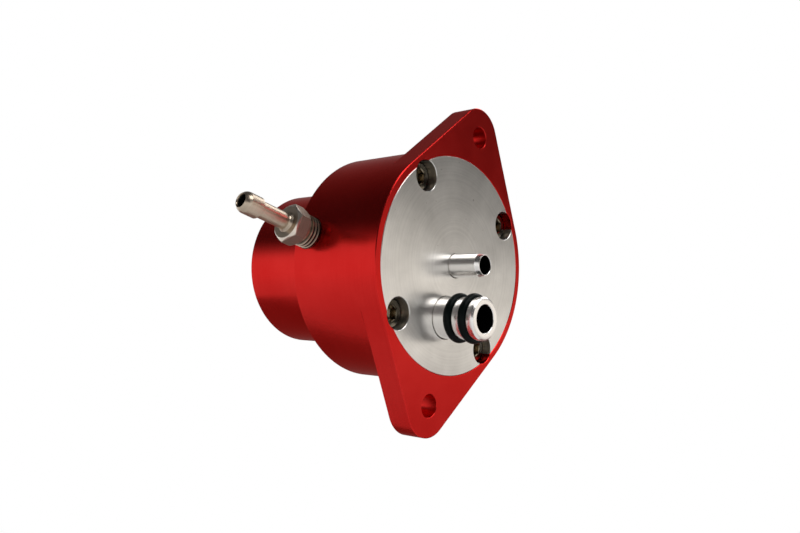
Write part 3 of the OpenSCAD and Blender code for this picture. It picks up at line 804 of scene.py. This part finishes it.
def makeDiaphragmRim():
    d = diaphragm
    foot = math.asin((d["high"] - d["low"]) / d["rollOut"])

    def rollDot(radius, angle):
        return d["rollMiddle"] + radius * math.cos(angle), d["low"] + radius * math.sin(angle)

    shares = [i / d["arc"] for i in range(d["arc"] + 1)]
    under = [rollDot(d["rollIn"], math.pi * (1 - share)) for share in shares]
    over = [rollDot(d["rollOut"], foot + (math.pi - foot) * share) for share in shares]
    sheet = turned(under + [(d["outerR"], d["low"]), (d["outerR"], d["high"])] + over, d["steps"])
    hole = [(d["screwR"], d["low"] - d["over"]), (d["screwR"], d["high"] + d["over"])]
    return carved(sheet, [plug(hole, d["holeSteps"], spot) for spot in screwSpots])


finished("diaphragmCentre", makeDiaphragmCentre(), "diaphragm_rubber", "valve", ["diaphragm"])
finished("diaphragmRim", makeDiaphragmRim(), "diaphragm_rubber", "case", ["diaphragm"])

# the spring is split at a turn that stands still, into a lower and an upper part
spring = {"middle": 12.217, "wireR": 1.3, "low": 12.08, "high": 36.62, "turns": 6.5, "closed": 2.652, "split": 2.25,
          "steps": 48, "sides": 16}


# height of the wire's middle after some turns, with the first and the last turn closed
def coilHeight(turn):
    s = spring
    rest = s["turns"] - 1
    first, last = s["low"] + s["wireR"], s["high"] - s["wireR"]
    if turn < 1:
        return first + turn * s["closed"]
    if turn > rest:
        return last - (s["turns"] - turn) * s["closed"]
    share = (turn - 1) / (rest - 1)
    return (first + s["closed"]) * (1 - share) + (last - s["closed"]) * share


def makeCoil(fromTurn, toTurn):
    s = spring
    count = round((toTurn - fromTurn) * s["steps"])
    rings = []
    for i in range(count + 1):
        turn = fromTurn + (toTurn - fromTurn) * i / count
        outward = Vector((math.cos(fullTurn * turn), 0, -math.sin(fullTurn * turn)))
        ring = []
        for k in range(s["sides"]):
            angle = fullTurn * k / s["sides"]
            ring.append(outward * (s["middle"] + s["wireR"] * math.cos(angle))
                        + Vector((0, coilHeight(turn) + s["wireR"] * math.sin(angle), 0)))
        rings.append(ring)
    return lofted(rings)


stillHeight = coilHeight(spring["split"])
finished("springLower", makeCoil(0, spring["split"]), "spring_steel",
         ("valve", "case", spring["low"] + 2 * spring["wireR"], stillHeight - spring["wireR"]), ["spring"])
finished("springUpper", makeCoil(spring["split"], spring["turns"]), "spring_steel",
         ("case", "seat", stillHeight + spring["wireR"], spring["high"] - 2 * spring["wireR"]), ["spring"])

slotOf = {part["node"]: part["material_slot"] for part in frame["record"]["subparts"]}
for nodeName, solid in frame["nodes"].items():
    solid.data.materials.clear()
    solid.data.materials.append(finishes[slotOf[nodeName]])
print("pieces made and CAD nodes painted")

stageLook = {"floorZ": -0.11, "floorSize": 8.0, "pale": (0.63, 0.63, 0.63, 1), "white": (1, 1, 1, 1), "glow": 0.06,
             "near": 0.10, "far": 0.36, "cameraFar": 0.24, "cameraNear": 0.4, "fill": 0.5}


# 1 where the camera or a reflection looks, 0 for plain light
def seenDirectly(paint):
    camera, glossy, through = (paint.node("ShaderNodeLightPath", output=name) for name in (
        "Is Camera Ray", "Is Glossy Ray", "Is Transmission Ray"))
    return camera.most(glossy).most(through)


def makeWorld():
    look = stageLook
    world = bpy.data.worlds.new("studio")
    bpy.context.scene.world = world
    world.use_nodes = True
    paint = Paint("studio", world.node_tree)
    fill, seen = (paint.node("ShaderNodeBackground", {}, {"Color": look["white"], "Strength": strength})
                  for strength in (look["fill"], 1.0))
    paint.node("ShaderNodeOutputWorld", {}, {"Surface": paint.mix(seenDirectly(paint), fill, seen)})


# cloth that takes the shadow near the part and turns into the white background further out
def makeFloor():
    look = stageLook
    paint = Paint("paleFloor")
    x, y, z = paint.axes()
    reach = away(x, y) * mm
    inMirror = paint.spread(reach, look["near"], look["far"], 0.0, 1.0)
    inCamera = paint.spread(reach, look["near"], look["cameraFar"], look["cameraNear"], 1.0)
    outer = inMirror + (inCamera - inMirror) * paint.node("ShaderNodeLightPath", output="Is Camera Ray")
    cloth = paint.node("ShaderNodeBsdfDiffuse", {}, {"Color": look["pale"]})
    lit = paint.node("ShaderNodeAddShader", {}, {0: cloth, 1: paint.glow(look["white"], look["glow"])})
    seen = paint.mix(outer, lit, paint.glow(look["white"]))
    shape = bmesh.new()
    bmesh.ops.create_grid(shape, x_segments=1, y_segments=1, size=look["floorSize"] / 2)
    bmesh.ops.translate(shape, verts=shape.verts, vec=(0, 0, look["floorZ"]))
    floor = asObject("floor", shape)
    floor.data.materials.append(paint.close(paint.mix(seenDirectly(paint), cloth, seen)))


# cloth over the set: its lower edge as (azimuth, elevation); in reflections dark above and paler towards the edge
flag = {"edge": [(-180, 6), (-40, 6), (45, 12), (90, 4), (124, -1), (140, 5), (180, 6)], "top": 89, "radius": 1.3,
        "rows": 12, "count": 72, "dark": (0.03, 0.03, 0.031, 1), "dim": (0.30, 0.30, 0.30, 1), "dimAcross": (0.25, 1.8),
        "pale": (0.9, 0.9, 0.9, 1), "paleLean": 0.035, "paleFrom": 0.065, "paleHeight": 0.4, "fill": 0.7}


def flagEdge(azimuth):
    for (a0, e0), (a1, e1) in zip(flag["edge"], flag["edge"][1:]):
        if a0 <= azimuth <= a1:
            t = (azimuth - a0) / (a1 - a0)
            return e0 + (e1 - e0) * t * t * (3 - 2 * t)


def makeFlag():
    f = flag
    paint = Paint("darkCloth")
    x, y, z = paint.axes()
    tone = paint.blend(paint.spread((x + y) * mm, *f["dimAcross"], 0.0, 1.0), f["dark"], f["dim"])
    height = (z - f["paleLean"] * (x - y)) * mm - f["paleFrom"]
    low = paint.spread(height, 0.0, f["paleHeight"], 1.0, 0.0) ** 2.0
    seen = paint.glow(paint.blend(low, tone, f["pale"]))
    skin = paint.mix(seenDirectly(paint), paint.glow(f["pale"], f["fill"]), seen)
    rings = []
    for row in range(f["rows"] + 1):
        ring = []
        for i in range(f["count"]):
            azimuth = -180 + 360 * i / f["count"]
            edge = flagEdge(azimuth)
            rise = math.radians(edge + (f["top"] - edge) * row / f["rows"])
            turn = math.radians(azimuth)
            ring.append((f["radius"] * math.cos(rise) * math.cos(turn),
                         f["radius"] * math.cos(rise) * math.sin(turn), f["radius"] * math.sin(rise)))
        rings.append(ring)
    cloth = asObject("darkCloth", lofted(rings, fill=False))
    cloth.data.materials.append(paint.close(skin))
    cloth.visible_camera = False


# cards that only reflections see: direction, distance of the lower and upper edge, half width, heights and tone
cards = {
    "rearRight": {"azimuth": 38, "near": 0.05, "far": 0.36, "half": 0.175, "low": -0.108, "high": 0.05, "tilt": 0.0,
                  "fade": (-0.1, 0.05), "foot": (0.24, 0.14, 0.13, 1), "top": (0.20, 0.15, 0.145, 1)},
    "frontRight": {"azimuth": -40, "near": 0.7, "far": 0.7, "half": 0.45, "low": -0.109, "high": 0.205, "tilt": 0.10,
                   "fade": (0.05, 0.11), "foot": (0.56, 0.53, 0.50, 1), "top": (1.2, 1.13, 1.04, 1)},
    "behindCamera": {"azimuth": -135, "near": 0.55, "far": 0.55, "half": 0.34, "low": -0.05, "high": 0.28, "tilt": 0.0,
                     "fade": (-0.1, 0.28), "foot": (0.12, 0.10, 0.10, 1), "top": (0.07, 0.065, 0.07, 1)},
}


def makeCard(name, spec):
    paint = Paint(name)
    x, y, z = paint.axes()
    tone = paint.blend(paint.spread(z * mm, *spec["fade"], 0.0, 1.0), spec["foot"], spec["top"])
    near, far, half, low, high, tilt = (spec[key] for key in ("near", "far", "half", "low", "high", "tilt"))
    turn = Matrix.Rotation(math.radians(spec["azimuth"]), 3, "Z")
    shape = bmesh.new()
    dots = [shape.verts.new(turn @ Vector(corner)) for corner in (
        (near, -half, low), (near, half, low), (far, half, high - tilt), (far, -half, high + tilt))]
    bmesh.ops.contextual_create(shape, geom=dots)
    card = asObject(name, shape)
    card.data.materials.append(paint.close(paint.glow(tone)))
    card.visible_camera = card.visible_diffuse = card.visible_shadow = False


# softboxes: place and size in metres, power in watts
softboxes = {
    "frontTop": {"place": (-0.02, -0.36, 0.50), "size": (0.5, 0.35), "power": 2.0},
    "overRight": {"place": (0.36, 0.02, 0.48), "size": (0.35, 0.3), "power": 0.8},
}


def makeSoftbox(name, spec):
    lamp = bpy.data.lights.new(name, "AREA")
    lamp.shape = "RECTANGLE"
    lamp.size, lamp.size_y = spec["size"]
    lamp.energy = spec["power"]
    holder = bpy.data.objects.new(name, lamp)
    holder.location = spec["place"]
    holder.rotation_euler = (-Vector(spec["place"])).to_track_quat("-Z", "Y").to_euler()
    bpy.context.scene.collection.objects.link(holder)


# the part was photographed from front left, a little below, and rolled
cameraLook = {"azimuth": -46.808, "elevation": -14.2, "roll": 11.756, "lens": 34.0875, "sensor": 36.0,
              "place": (-139.38 * mm, -112.63 * mm, -48.25 * mm), "clip": 0.005}


def makeCamera():
    data = bpy.data.cameras.new("camera")
    data.lens = cameraLook["lens"]
    data.sensor_width = cameraLook["sensor"]
    data.clip_start = cameraLook["clip"]
    camera = bpy.data.objects.new("camera", data)
    turn, rise, roll = (math.radians(cameraLook[key]) for key in ("azimuth", "elevation", "roll"))
    ahead = Vector((-math.sin(turn) * math.cos(rise), math.cos(turn) * math.cos(rise), -math.sin(rise)))
    camera.rotation_mode = "QUATERNION"
    camera.rotation_quaternion = ahead.to_track_quat("-Z", "Y") @ Quaternion((0, 0, 1), roll)
    camera.location = cameraLook["place"]
    bpy.context.scene.collection.objects.link(camera)
    bpy.context.scene.camera = camera


makeWorld()
makeFloor()
makeFlag()
for cardName, cardSpec in cards.items():
    makeCard(cardName, cardSpec)
for lampName, lampSpec in softboxes.items():
    makeSoftbox(lampName, lampSpec)
makeCamera()
bpy.context.scene.view_settings.view_transform = "Standard"
print("stage, lights and camera placed")
